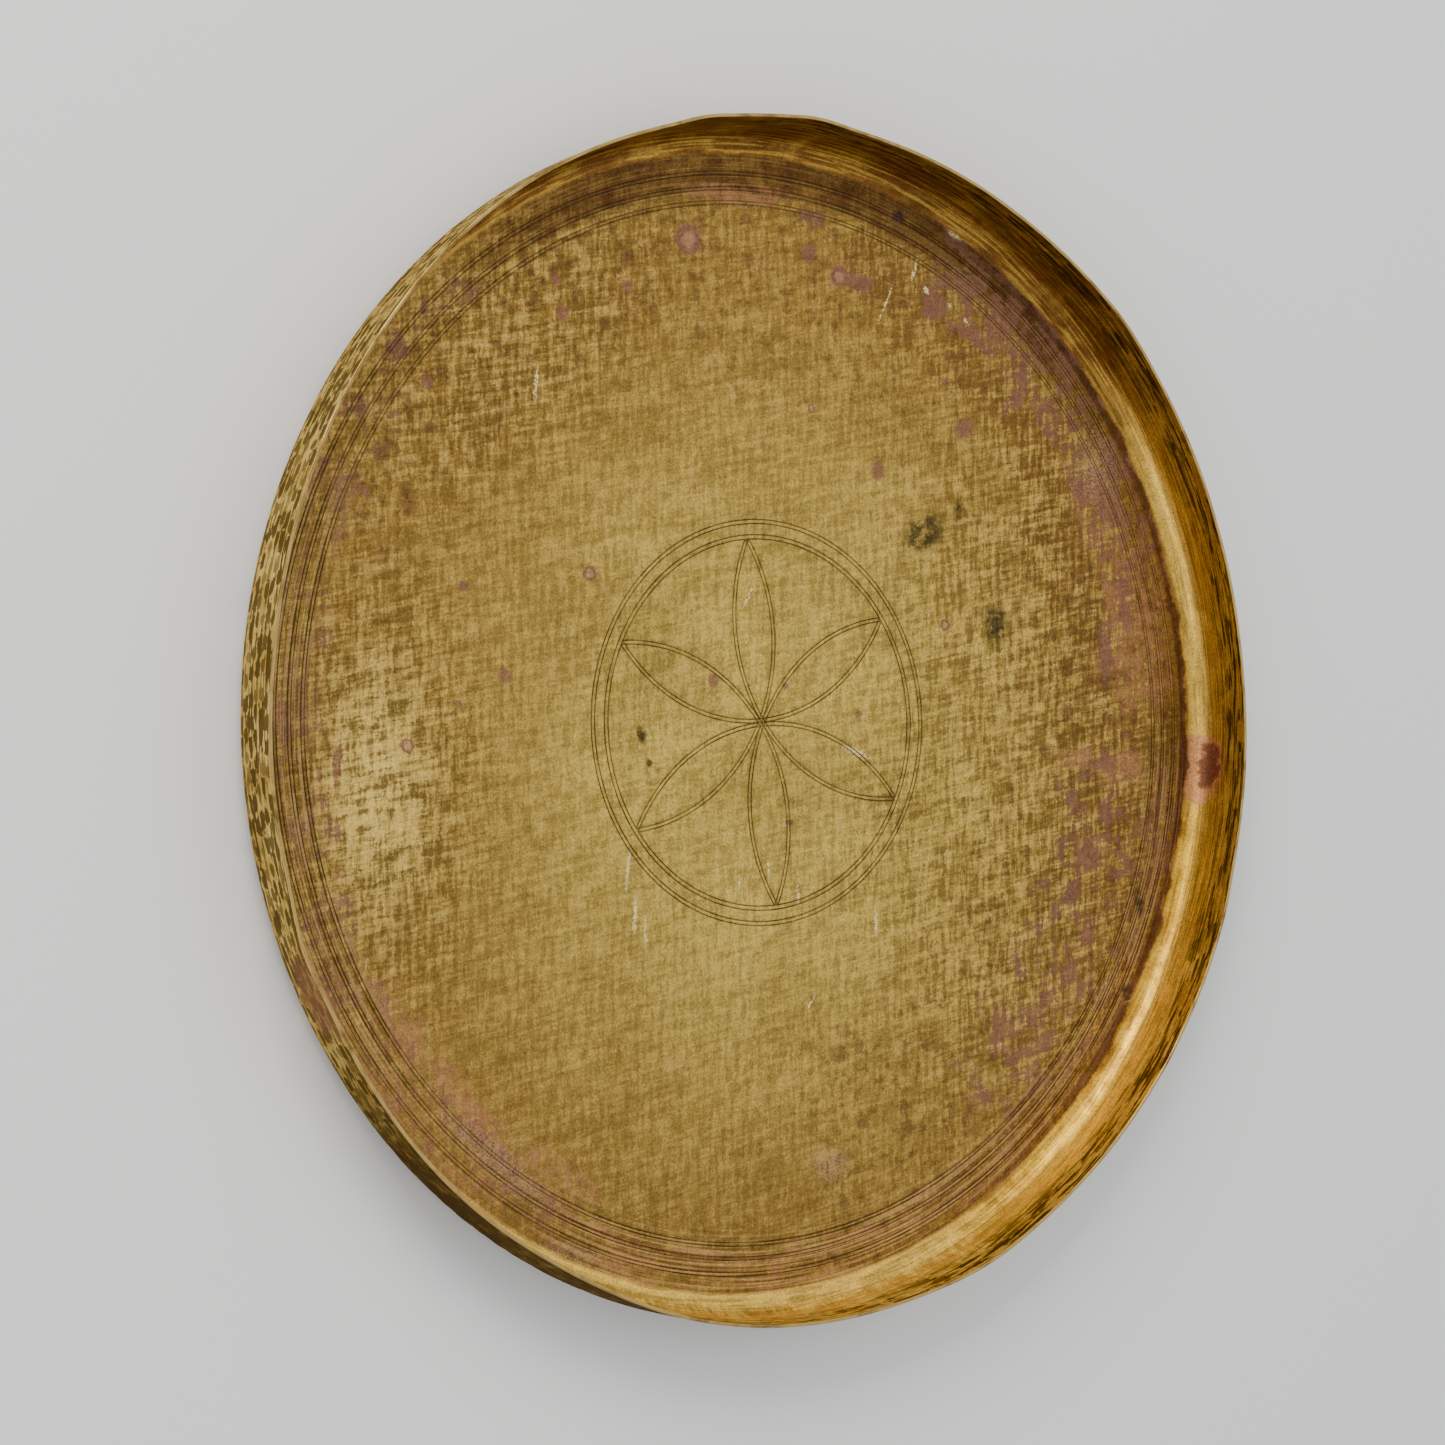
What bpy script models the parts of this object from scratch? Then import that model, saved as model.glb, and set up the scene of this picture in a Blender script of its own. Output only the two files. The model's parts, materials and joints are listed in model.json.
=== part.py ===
"""Large round brass tray, raised by hand from one sheet. Metres, +Z up.

The origin is the middle of the underside, where the tray stands. +Z runs up the
tray's own axis, out of its open side. The tray is a single piece of metal: a flat
floor, a tight bend and a low, nearly upright wall that ends in a plain cut lip.
"""

import math

import bmesh
import bpy

# Driving dimensions. Each is set by itself.
LIP_DIAMETER = 0.500  # across the outside of the lip
RIM_HEIGHT = 0.032  # from the underside to the top of the lip
SHEET = 0.0015  # thickness of the brass
BEND_RADIUS = 0.0100  # inside radius of the bend between floor and wall
WALL_LEAN = math.radians(1.5)  # how far the wall leans out from upright
LIP_ROUND = 0.0004  # the lip's two corners, filed round

# How finely the round shapes are divided.
TURN_STEPS = 96
BEND_STEPS = 8
CORNER_STEPS = 3
FLOOR_RINGS = 3
MERGE = 0.00005  # closes the turned mesh on its axis and where the turn ends

BRASS_COLOUR = (0.42, 0.29, 0.10, 1.0)
BRASS_ROUGHNESS = 0.42
BRASS_METALLIC = 1.0

QUARTER = math.pi / 2

# Both faces of the sheet turn the bend about one line, so the wall keeps its thickness.
bend_z = SHEET + BEND_RADIUS
outer_bend_radius = BEND_RADIUS + SHEET
corner_z = RIM_HEIGHT - LIP_ROUND


def wall_reach(bend_radius, z):
    """How far a face of the wall stands out from the bend's middle at a height z,
    for the face that leaves a bend of this radius."""
    tangent_x = bend_radius * math.cos(WALL_LEAN)
    tangent_z = bend_z - bend_radius * math.sin(WALL_LEAN)
    return tangent_x + (z - tangent_z) * math.tan(WALL_LEAN)


bend_x = LIP_DIAMETER / 2 - wall_reach(outer_bend_radius, corner_z)


def arc(centre, radius, start, end, steps):
    """Points along an arc in the X-Z plane, from angle start to angle end."""
    points = []
    for i in range(steps + 1):
        angle = start + (end - start) * i / steps
        x = centre[0] + radius * math.cos(angle)
        z = centre[1] + radius * math.sin(angle)
        points.append((x, z))
    return points


def floor_line(z):
    """Points from the axis out towards the bend, without the last one."""
    return [(bend_x * i / FLOOR_RINGS, z) for i in range(FLOOR_RINGS)]


def sheet_section():
    """Half of the tray cut through its axis: out along the floor, up the wall's inner
    face, over the lip, down the outer face and back under the floor to the axis."""
    bend = (bend_x, bend_z)
    inner_corner = (bend_x + wall_reach(BEND_RADIUS, corner_z) + LIP_ROUND, corner_z)
    outer_corner = (LIP_DIAMETER / 2 - LIP_ROUND, corner_z)
    section = floor_line(SHEET)
    section += arc(bend, BEND_RADIUS, -QUARTER, -WALL_LEAN, BEND_STEPS)
    section += arc(inner_corner, LIP_ROUND, 2 * QUARTER, QUARTER, CORNER_STEPS)
    section += arc(outer_corner, LIP_ROUND, QUARTER, 0.0, CORNER_STEPS)
    section += arc(bend, outer_bend_radius, -WALL_LEAN, -QUARTER, BEND_STEPS)
    section += reversed(floor_line(0.0))
    return section


def turned(name, section):
    """One object, made by turning a section round the tray's axis."""
    mesh = bpy.data.meshes.new(name)
    outline = bmesh.new()
    corners = [outline.verts.new((x, 0.0, z)) for x, z in section]
    for first, second in zip(corners, corners[1:]):
        outline.edges.new((first, second))
    outline.to_mesh(mesh)
    outline.free()
    obj = bpy.data.objects.new(name, mesh)
    bpy.context.scene.collection.objects.link(obj)
    screw = obj.modifiers.new("turn", "SCREW")
    screw.axis = "Z"
    screw.angle = 2 * math.pi
    screw.steps = TURN_STEPS
    screw.render_steps = TURN_STEPS
    screw.use_merge_vertices = True
    screw.merge_threshold = MERGE
    screw.use_smooth_shade = True
    return obj


def brass():
    """Old brass: warm, half dull metal."""
    material = bpy.data.materials.new("old_brass")
    material.use_nodes = True
    shader = material.node_tree.nodes["Principled BSDF"]
    shader.inputs["Base Color"].default_value = BRASS_COLOUR
    shader.inputs["Roughness"].default_value = BRASS_ROUGHNESS
    shader.inputs["Metallic"].default_value = BRASS_METALLIC
    return material


for old in list(bpy.data.objects):
    bpy.data.objects.remove(old, do_unlink=True)

tray = turned("tray_body", sheet_section())
tray.data.materials.append(brass())
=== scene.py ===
"""A large round brass tray with a low upright wall, hammered and scribed by hand.

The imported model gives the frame: the tray lies flat on its underside, +Z runs up its
axis. Metres throughout, except where a shader works in millimetres.
"""

import json
import math

import bpy
import numpy as np
from mathutils import Euler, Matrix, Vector, noise
from mathutils.geometry import delaunay_2d_cdt


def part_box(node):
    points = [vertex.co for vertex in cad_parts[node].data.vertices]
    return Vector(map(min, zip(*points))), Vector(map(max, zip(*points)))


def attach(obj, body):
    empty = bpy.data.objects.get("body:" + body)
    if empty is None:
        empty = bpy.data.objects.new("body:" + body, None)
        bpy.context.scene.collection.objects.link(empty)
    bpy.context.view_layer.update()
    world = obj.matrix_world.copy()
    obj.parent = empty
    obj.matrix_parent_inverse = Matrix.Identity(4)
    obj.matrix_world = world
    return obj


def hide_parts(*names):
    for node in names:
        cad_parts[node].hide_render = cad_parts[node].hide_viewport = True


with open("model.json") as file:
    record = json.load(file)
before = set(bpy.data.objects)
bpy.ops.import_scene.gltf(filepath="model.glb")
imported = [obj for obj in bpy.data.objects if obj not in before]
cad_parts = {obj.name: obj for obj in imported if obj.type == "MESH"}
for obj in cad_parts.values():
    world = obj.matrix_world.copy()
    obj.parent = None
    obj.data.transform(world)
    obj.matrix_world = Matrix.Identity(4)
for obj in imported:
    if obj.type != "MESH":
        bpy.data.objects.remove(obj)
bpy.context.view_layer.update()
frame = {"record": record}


# ---------------------------------------------------------------------------
# The camera. It looks at the tray from its left, about a third of the way down
# from straight overhead, with a long lens, so the far wall shows its inner face
# and the near wall its outer one.

CAMERA_PLACE = (-0.916, 0.0, 1.281)
CAMERA_TURN = (1.25, -34.98, -2.15)  # degrees, X then Y then Z
CAMERA_LENS = 93.1
CAMERA_SENSOR = 36.0

lens = bpy.data.cameras.new("camera")
lens.lens = CAMERA_LENS
lens.sensor_width = CAMERA_SENSOR
camera = bpy.data.objects.new("camera", lens)
camera.location = CAMERA_PLACE
camera.rotation_euler = Euler([math.radians(turn) for turn in CAMERA_TURN], "XYZ")
bpy.context.scene.collection.objects.link(camera)
bpy.context.scene.camera = camera


# ---------------------------------------------------------------------------
# The raised sheet. The tray is one disc of brass sheet: a flat floor, a tight bend
# and an upright wall with a filed lip. Its overall sizes come from the frame, and
# its section is turned round the axis as rows of points.

BEND_RADIUS = 0.0100  # inside radius of the bend
WALL_LEAN = math.radians(1.5)  # how far the wall leans out
LIP_ROUND = 0.0004  # the lip's filed corners
TURN_STEPS = 512  # points in each row
BEND_STEPS = 8
LIP_STEPS = 3
WALL_ROWS_INSIDE = 14
WALL_ROWS_OUTSIDE = 22
UNDER_ROWS = 34
FLOOR_STEP = 0.0041  # widest gap between rows on the floor
RING_MARGIN = 0.003  # between those rows and the first scribed ring
DISC_RADIUS = 0.092  # the middle of the floor, which holds the rosette, is meshed apart
INSIDE, LIP, OUTSIDE = 0, 1, 2  # the sheet's zones, each with its own finish
QUARTER = math.pi / 2

tray_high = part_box("tray_body")[1]
lip_radius = tray_high.x
rim_height = tray_high.z
mounts = {mount["name"]: mount for mount in frame["record"]["mounts"]}
sheet = mounts["floor"]["pos_m"][2]
bend_z = sheet + BEND_RADIUS
outer_bend = BEND_RADIUS + sheet
corner_z = rim_height - LIP_ROUND

# Knocks that put the lip out of round: direction and spread in degrees, push in mm.
LIP_KNOCKS = (
    (6, 19, -2.1), (44, 8, 1.5), (86, 3.5, 1.4), (92, 9, 1.5), (99, 3, 1.0),
    (119, 14, 1.3), (171, 11, -0.9), (199, 4, 1.7), (241, 11, -1.8), (291, 7, 1.5),
    (345, 7, -0.9),
)
PUSH_RISE = 1.2  # the knocks die away down the wall by this power
LIP_WAVE = 0.00035  # how far the lip's height wanders
LIP_WAVE_SCALE = 9
LIP_WAVE_SEED = 3.1


def wall_reach(bend_radius, z):
    """How far a face of the wall stands out from the bend's middle at a height z."""
    tangent_x = bend_radius * math.cos(WALL_LEAN)
    tangent_z = bend_z - bend_radius * math.sin(WALL_LEAN)
    return tangent_x + (z - tangent_z) * math.tan(WALL_LEAN)


bend_x = lip_radius - wall_reach(outer_bend, corner_z)


def arc(centre, radius, start, end, steps):
    """Points on an arc in the section, both ends included."""
    angles = [start + (end - start) * i / steps for i in range(steps + 1)]
    return [(centre[0] + radius * math.cos(a), centre[1] + radius * math.sin(a)) for a in angles]


def even(start, end, steps):
    """Points on a straight stretch of the section, without its two ends."""
    return [
        tuple(s + (e - s) * i / steps for s, e in zip(start, end)) for i in range(1, steps)
    ]


def lip_push(angle):
    """How far the lip stands outside a true circle in this direction."""
    total = 0.0
    for direction, spread, push in LIP_KNOCKS:
        off = (math.degrees(angle) - direction + 180) % 360 - 180
        total += push * 0.001 * math.exp(-((off / spread) ** 2))
    return total


# The scribed lines. A two-point scriber drew three pairs of rings near the edge, and
# in the middle a double circle round a six-petalled rosette. Each line is a shallow
# V with a flat left beside it.
RING_PAIRS = (0.2188, 0.2247, 0.2312)
RING_GAP = 0.0015
ROSETTE_RINGS = (0.0773, 0.0791, 0.0838, 0.0855)
PETAL_ARCS = (0.0775, 0.0791)  # radii of the twin arcs that draw the petals
PETAL_CENTRES = 0.0791  # the scriber's point stood on the inner circle
PETAL_TURN = math.radians(93.5)
LINE_HALF = 0.00038
LINE_DEPTH = 0.00016
LINE_FLAT = 0.00028  # flat strip kept beside a line
MERGE_MM = 0.03  # points closer than this on the rosette become one
RING_STEP = 0.0026  # between points along the rosette's circles
PETAL_STEP = 0.0028  # and along its petals
PETAL_REACH = 1.04  # half the angle that a petal's arc spans
LATTICE_ROW = 0.866  # between the lattice's rows, as a share of its spacing
LATTICE_EDGE = 0.7  # kept free along the disc's edge, as a share of the spacing
LATTICE_CLEAR_MM = 1.3  # kept free beside the lines
CLOSED_MM = 4  # a chain whose ends are nearer than this is a closed ring
FLOOR_SPACING = 3.2
UNDER_SPACING = 5.0

edge_rings = [pair + side * RING_GAP / 2 for pair in RING_PAIRS for side in (-1, 1)]
petal_points = [
    (
        PETAL_CENTRES * math.cos(PETAL_TURN + k * math.pi / 3),
        PETAL_CENTRES * math.sin(PETAL_TURN + k * math.pi / 3),
    )
    for k in range(6)
]


def scribed_at(x, y):
    """How deep the scriber cut here: 1 on a line's middle, 0 beside it."""
    r = math.hypot(x, y)
    off = min(abs(r - ring) for ring in (*ROSETTE_RINGS, *edge_rings))
    if r < ROSETTE_RINGS[0]:
        for px, py in petal_points:
            reach = math.hypot(x - px, y - py)
            off = min(off, *(abs(reach - arc_radius) for arc_radius in PETAL_ARCS))
    return max(0.0, 1 - off / LINE_HALF)


def floor_rows():
    """Radii of the rows on the inside floor, from the rosette's disc to the bend."""
    plain = RING_PAIRS[0] - RING_MARGIN - DISC_RADIUS
    step_count = math.ceil(plain / FLOOR_STEP)
    span = plain / step_count
    rows = [DISC_RADIUS + span * i for i in range(step_count + 1)]
    for ring in edge_rings:
        flat = LINE_HALF + LINE_FLAT
        rows += [ring + off for off in (-flat, -LINE_HALF, 0.0, LINE_HALF, flat)]
    rows.append((rows[-1] + bend_x) / 2)
    return rows


bend = (bend_x, bend_z)
inner_corner = (bend_x + wall_reach(BEND_RADIUS, corner_z) + LIP_ROUND, corner_z)
outer_corner = (lip_radius - LIP_ROUND, corner_z)
inner_bend_line = arc(bend, BEND_RADIUS, -QUARTER, -WALL_LEAN, BEND_STEPS)
outer_bend_line = arc(bend, outer_bend, -WALL_LEAN, -QUARTER, BEND_STEPS)
lip_line = arc(inner_corner, LIP_ROUND, 2 * QUARTER, QUARTER, LIP_STEPS)
lip_line += arc(outer_corner, LIP_ROUND, QUARTER, 0.0, LIP_STEPS)

inside = [(radius, sheet) for radius in floor_rows()] + inner_bend_line
inside += even(inner_bend_line[-1], lip_line[0], WALL_ROWS_INSIDE)
outside = even(lip_line[-1], outer_bend_line[0], WALL_ROWS_OUTSIDE) + outer_bend_line
outside += even((bend_x, 0.0), (DISC_RADIUS, 0.0), UNDER_ROWS) + [(DISC_RADIUS, 0.0)]
section = inside + lip_line + outside
first_lip, last_lip = len(inside), len(inside) + len(lip_line) - 1


def run_at(radius, height):
    """Distance of a point from the axis, measured along the middle of the sheet."""
    middle = BEND_RADIUS + sheet / 2
    if height >= bend_z:
        return bend_x + QUARTER * middle + height - bend_z
    if radius > bend_x:
        return bend_x + math.atan2(radius - bend_x, bend_z - height) * middle
    return radius


# Each point carries its run, its side of the sheet (1 inside, -1 outside) and its
# share of a scribed line, for the finishes and the hammer work.
inside_count = first_lip + LIP_STEPS + 1
section_side = [1.0] * inside_count + [-1.0] * (len(section) - inside_count)
points, runs, sides, scribed = [], [], [], []
for (radius, height), side in zip(section, section_side):
    lift = max(0.0, (height - bend_z) / (rim_height - bend_z)) ** PUSH_RISE
    for step in range(TURN_STEPS):
        angle = 2 * math.pi * step / TURN_STEPS
        x, y = math.cos(angle), math.sin(angle)
        cut = scribed_at(x * radius, y * radius) if side > 0 and height == sheet else 0.0
        out = radius + lift * lip_push(angle)
        spot = Vector((x * LIP_WAVE_SCALE, y * LIP_WAVE_SCALE, LIP_WAVE_SEED))
        wave = lift * LIP_WAVE * noise.noise(spot)
        points.append((x * out, y * out, height + wave - cut * LINE_DEPTH))
        runs.append(run_at(radius, height))
        sides.append(side)
        scribed.append(cut)

faces, zones = [], []
for row in range(len(section) - 1):
    zone = INSIDE if row < first_lip else LIP if row < last_lip else OUTSIDE
    for step in range(TURN_STEPS):
        a = row * TURN_STEPS + step
        b = row * TURN_STEPS + (step + 1) % TURN_STEPS
        faces.append((a, a + TURN_STEPS, b + TURN_STEPS, b))
        zones.append(zone)


def line_chain(centre, radius, start, end, step):
    """Points along an arc on the floor, in millimetres."""
    count = max(6, round(abs(end - start) * radius / step))
    angles = [start + (end - start) * i / count for i in range(count + 1)]
    chain = [
        Vector((centre[0] + radius * math.cos(a), centre[1] + radius * math.sin(a))) * 1000
        for a in angles
    ]
    return chain[:-1] if end - start > math.pi else chain


def rosette_lines():
    """Bottom, edges and flats of every line in the middle of the floor."""
    offsets = (-LINE_HALF - LINE_FLAT, -LINE_HALF, 0.0, LINE_HALF, LINE_HALF + LINE_FLAT)
    chains = [
        line_chain((0, 0), ring + off, 0, 2 * math.pi, RING_STEP)
        for ring in ROSETTE_RINGS
        for off in offsets
    ]
    for px, py in petal_points:
        towards = math.atan2(-py, -px)
        start, end = towards - PETAL_REACH, towards + PETAL_REACH
        for arc_radius in PETAL_ARCS:
            for off in offsets[1:4]:
                chains.append(line_chain((px, py), arc_radius + off, start, end, PETAL_STEP))
    return chains


def scribed_near(spot):
    """Distance in millimetres from a spot to the nearest scribed line."""
    x, y = spot.x / 1000, spot.y / 1000
    r = math.hypot(x, y)
    off = min(abs(r - ring) for ring in ROSETTE_RINGS)
    for px, py in petal_points:
        reach = math.hypot(x - px, y - py)
        if r < ROSETTE_RINGS[1]:
            off = min(off, *(abs(reach - arc_radius) for arc_radius in PETAL_ARCS))
    return off * 1000


def disc(boundary, height, side, chains, spacing):
    """Meshes the middle of a face: the boundary row, the lines and a loose lattice."""
    flat = [Vector(points[i][:2]) * 1000 for i in boundary]
    edges = [(i, (i + 1) % len(flat)) for i in range(len(flat))]
    kept = [Vector(p) for p in flat]
    for chain in chains:
        first = len(kept)
        kept += chain
        edges += [(i, i + 1) for i in range(first, len(kept) - 1)]
        if (chain[0] - chain[-1]).length < CLOSED_MM:
            edges.append((len(kept) - 1, first))
    count = int(DISC_RADIUS * 1000 / spacing) + 1
    for row in range(-count, count + 1):
        for column in range(-count, count + 1):
            spot = Vector((column + 0.5 * (row % 2), row * LATTICE_ROW)) * spacing
            clear = not chains or scribed_near(spot) > LATTICE_CLEAR_MM
            if clear and spot.length < DISC_RADIUS * 1000 - LATTICE_EDGE * spacing:
                kept.append(spot)
    found = delaunay_2d_cdt(kept, edges, [], 0, MERGE_MM)
    index = []
    for spot, origins in zip(found[0], found[3]):
        known = [i for i in origins if i < len(flat)]
        if known:
            index.append(boundary[known[0]])
            continue
        x, y = spot.x / 1000, spot.y / 1000
        cut = scribed_at(x, y) if chains else 0.0
        index.append(len(points))
        points.append((x, y, height - cut * LINE_DEPTH))
        runs.append(math.hypot(x, y))
        sides.append(side)
        scribed.append(cut)
    for face in found[2]:
        corners = [index[i] for i in face]
        faces.append(corners if side > 0 else corners[::-1])
        zones.append(INSIDE if side > 0 else OUTSIDE)


disc(list(range(TURN_STEPS)), sheet, 1.0, rosette_lines(), FLOOR_SPACING)
last_row = (len(section) - 1) * TURN_STEPS
disc(list(range(last_row, last_row + TURN_STEPS)), 0.0, -1.0, [], UNDER_SPACING)

# Where the patina gathers, and where light and shade are painted in with it. Each kind
# has a soft strength over the sheet, from ovals (place, half widths and turn) and from
# stretches of the rim (direction and spread in degrees, inner and outer radius), all in mm.
# The brass breaks them up further on.
flat = np.array(points)[:, :2] * 1000
away_from_axis = np.hypot(flat[:, 0], flat[:, 1])
STRETCH_FULL, STRETCH_END = 0.7, 1.2  # where a stretch starts to fade and ends, in spreads
bearing = np.degrees(np.arctan2(flat[:, 1], flat[:, 0]))


def eased(values, start, end):
    """Goes smoothly from 0 to 1 as the values go from start to end."""
    share = np.clip((values - start) / (end - start), 0, 1)
    return share * share * (3 - 2 * share)


def ovals(spots, softness):
    """Strength of a list of soft ovals."""
    strength = np.zeros(len(flat))
    for x, y, wide, high, turn in spots:
        cos, sin = math.cos(math.radians(turn)), math.sin(math.radians(turn))
        dx, dy = flat[:, 0] - x, flat[:, 1] - y
        reach = np.hypot((dx * cos + dy * sin) / wide, (dy * cos - dx * sin) / high)
        strength = np.maximum(strength, eased(reach, 1 + softness, 1 - softness))
    return strength


def stretches(spots, softness):
    """Strength of a list of stretches along the rim."""
    strength = np.zeros(len(flat))
    for middle, spread, inner, outer in spots:
        off = np.abs((bearing - middle + 180) % 360 - 180) / spread
        band = eased(away_from_axis, inner - softness, inner)
        band = band * eased(away_from_axis, outer + softness, outer)
        strength = np.maximum(strength, band * eased(off, STRETCH_END, STRETCH_FULL))
    return strength


patina_and_painted_light = {
    "woven_and_sheen": np.maximum(
        ovals([(155, -75, 84, 110, 20), (150, 40, 66, 90, 0), (-120, 160, 80, 40, 40)], 0.6) * 0.66,
        # the oval at the left edge also paints a sheen there, with stronger bright strokes
        ovals([(-186, -20, 40, 75, 0)], 0.6) * 0.9,
    ),
    # browner and darker towards the rim: partly patina, partly painted shade
    "browned_and_shaded": 1 - ovals([(4, -18, 130, 130, 0)], 0.7),
    # painted sheen: a pale patch at the left edge of the floor stands for a reflection of the window
    "painted_sheen": ovals([(-188, -22, 20, 40, 0)], 0.8),
    "spotted": np.maximum(
        stretches([(128, 34, 190, 236)], 40.0) * 0.8,
        stretches([(75, 30, 170, 232), (-30, 60, 150, 232)], 50.0) * 0.7,
    ),
    # brown patches at the right, which at the upper right are painted shade as well
    "brown_and_shade": np.maximum(
        stretches([(0, 34, 176, 226)], 34.0),
        stretches([(52, 26, 190, 262)], 24.0),
    ),
    # dark brown on the floor at the foot of the top wall: patina and painted shade
    "rim_brown_and_shade": stretches([(80, 44, 226, 246)], 7.0),
    "scoured": np.maximum(0.3, stretches([(-62, 66, 200, 240), (184, 34, 200, 240)], 8.0)),
    "copper": np.maximum(
        ovals([
            (198, -25, 16, 9, 0), (172, -20, 12, 6, 10), (48, 190, 7, 5, 0), (-5, 222, 30, 5, 0),
        ], 0.4),
        stretches([(-92, 30, 224, 246), (-133, 22, 208, 244), (14, 16, 200, 236)], 10.0) * 0.8,
        stretches([(94, 12, 218, 230)], 5.0) * 0.6,
    ),
    "purple": np.maximum.reduce([
        ovals([
            (195, 95, 10, 26, -24), (205, 52, 7, 18, 0), (192, 30, 5, 15, 0), (181, -61, 12, 7, 20),
            (166, -81, 8, 6, 50), (154, -76, 5, 6, 0), (146, -96, 6, 5, 0), (136, -111, 5, 8, 20),
            (124, -136, 5, 9, 10), (144, -134, 6, 6, 0), (131, -151, 6, 5, 0), (151, -146, 5, 7, 0),
            (146, -166, 10, 5, 40), (131, -176, 6, 5, 0), (189, -46, 7, 5, 0), (201, -71, 5, 9, 0),
            (176, -99, 6, 8, 30), (163, -118, 5, 6, 0), (190, -22, 8, 5, 0), (160, -60, 4, 6, 0),
            (-228, 5, 5, 13, 0), (-203, -10, 3, 7, 0), (-207, -37, 5, 5, 0), (-208, -97, 5, 14, 20),
            (-218, -33, 4, 7, 0), (100, 178, 9, 6, 20), (30, 214, 10, 4, 0), (-223, -36, 5, 9, 0),
            (-214, -70, 4, 8, 0), (-190, 128, 6, 5, 40), (-170, 152, 8, 5, 40), (58, 188, 8, 5, 0),
            (150, 152, 5, 7, 0), (132, 158, 4, 5, 0), (138, 136, 4, 4, 0),
        ], 0.5),
        stretches([(-33, 30, 176, 226)], 24.0) * 0.56,
        stretches([(178, 40, 212, 238), (-140, 26, 216, 238)], 9.0) * 0.52,
        stretches([(-36, 34, 222, 238), (40, 24, 204, 238)], 7.0) * 0.74,
        stretches([(140, 20, 220, 238)], 7.0) * 0.42,
    ]),
    "mauve": ovals([
        (190, 112, 10, 14, 0), (29, -189, 8, 6, 0), (-137, -172, 26, 5, -42),
        (-103, -213, 14, 4, -20),
    ], 0.6),
    "foot": stretches([(4, 60, 234, 242)], 2.0),
    # brown grime at the top of the wall's inner face, darkened further as painted shade
    "grime_and_shade": np.maximum(
        stretches([(72, 44, 236, 262), (118, 24, 236, 262)], 4.0),
        stretches([(20, 60, 248, 262)], 4.0) * 0.6,
    ),
    # painted highlight: a bright yellow band low on one stretch of the inner wall
    "painted_highlight": stretches([(-38, 30, 232, 262)], 3.0),
    "handled": stretches([(-95, 50, 230, 262), (60, 60, 230, 262)], 4.0),
    # dark brown on one stretch of the outer wall: patina and painted shade
    "outer_dark_and_shade": stretches([(247, 34, 230, 262)], 3.0),
    "outer_bloom": stretches([(203.5, 4.0, 230, 262)], 3.0),
}

mesh = bpy.data.meshes.new("brass_tray")
mesh.from_pydata(points, [], faces)
mesh.validate()
for name, values in {"run": runs, "side": sides, "scribed": scribed, **patina_and_painted_light}.items():
    layer = mesh.attributes.new(name, "FLOAT", "POINT")
    layer.data.foreach_set("value", values)
layer = mesh.attributes.new("zone", "INT", "FACE")
layer.data.foreach_set("value", zones)
mesh.polygons.foreach_set("use_smooth", [True] * len(mesh.polygons))
mesh.update()
tray = bpy.data.objects.new("brass_tray", mesh)
bpy.context.scene.collection.objects.link(tray)


# ---------------------------------------------------------------------------
# The brass as found: hammered sheet brass that has stood for years and been wiped
# and scoured by turns. The effects that its faces share are built once, as groups.

SPECULAR = 0.4  # how strongly the dulled skin shines
EDGE_RADIUS_MM = 240.0  # where the scouring round the edge is measured


def feed(tree, socket, value):
    """Links a socket to another, or sets its value."""
    if isinstance(value, bpy.types.NodeSocket):
        tree.links.new(value, socket)
    else:
        socket.default_value = value


def add(tree, kind, feeds=None, **settings):
    """A node with its settings made and its inputs fed, by name or by number."""
    node = tree.nodes.new(kind)
    for name, value in settings.items():
        setattr(node, name, value)
    for key, value in (feeds or {}).items():
        feed(tree, node.inputs[key], value)
    return node


def calc(tree, operation, *values):
    """The result of one sum."""
    node = add(tree, "ShaderNodeMath", dict(enumerate(values)), operation=operation)
    return node.outputs[0]


def times(tree, value, share):
    """A value multiplied by a share."""
    return calc(tree, "MULTIPLY", value, share)


def vector_calc(tree, operation, *values):
    """The result of one sum on vectors."""
    node = add(tree, "ShaderNodeVectorMath", dict(enumerate(values)), operation=operation)
    return node.outputs["Value" if operation == "LENGTH" else "Vector"]


def parts(tree, vector):
    """A vector's three parts."""
    return add(tree, "ShaderNodeSeparateXYZ", {0: vector}).outputs


def scaled(tree, vector, amount):
    """A vector made longer or shorter."""
    node = add(tree, "ShaderNodeVectorMath", {0: vector, 3: amount}, operation="SCALE")
    return node.outputs[0]


def ramp(tree, value, start, end, low=0.0, high=1.0):
    """A value eased from low to high as it goes from start to end."""
    feeds = {"Value": value, 1: start, 2: end, 3: low, 4: high}
    return add(tree, "ShaderNodeMapRange", feeds, interpolation_type="SMOOTHSTEP").outputs[0]


def swayed(tree, value, pattern, amount):
    """A value pushed up and down by a pattern that runs from 0 to 1."""
    return calc(tree, "MULTIPLY_ADD", calc(tree, "SUBTRACT", pattern, 0.5), amount, value)


def new_tree(name, kind, inputs, outputs):
    """A node group with these named sockets, and its two end nodes."""
    tree = bpy.data.node_groups.new(name, kind)
    for socket_name, socket_kind, value in inputs:
        socket = tree.interface.new_socket(socket_name, in_out="INPUT", socket_type=socket_kind)
        if value is not None:
            socket.default_value = value
    for socket_name, socket_kind in outputs:
        tree.interface.new_socket(socket_name, in_out="OUTPUT", socket_type=socket_kind)
    return tree, tree.nodes.new("NodeGroupInput").outputs, tree.nodes.new("NodeGroupOutput").inputs


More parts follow.
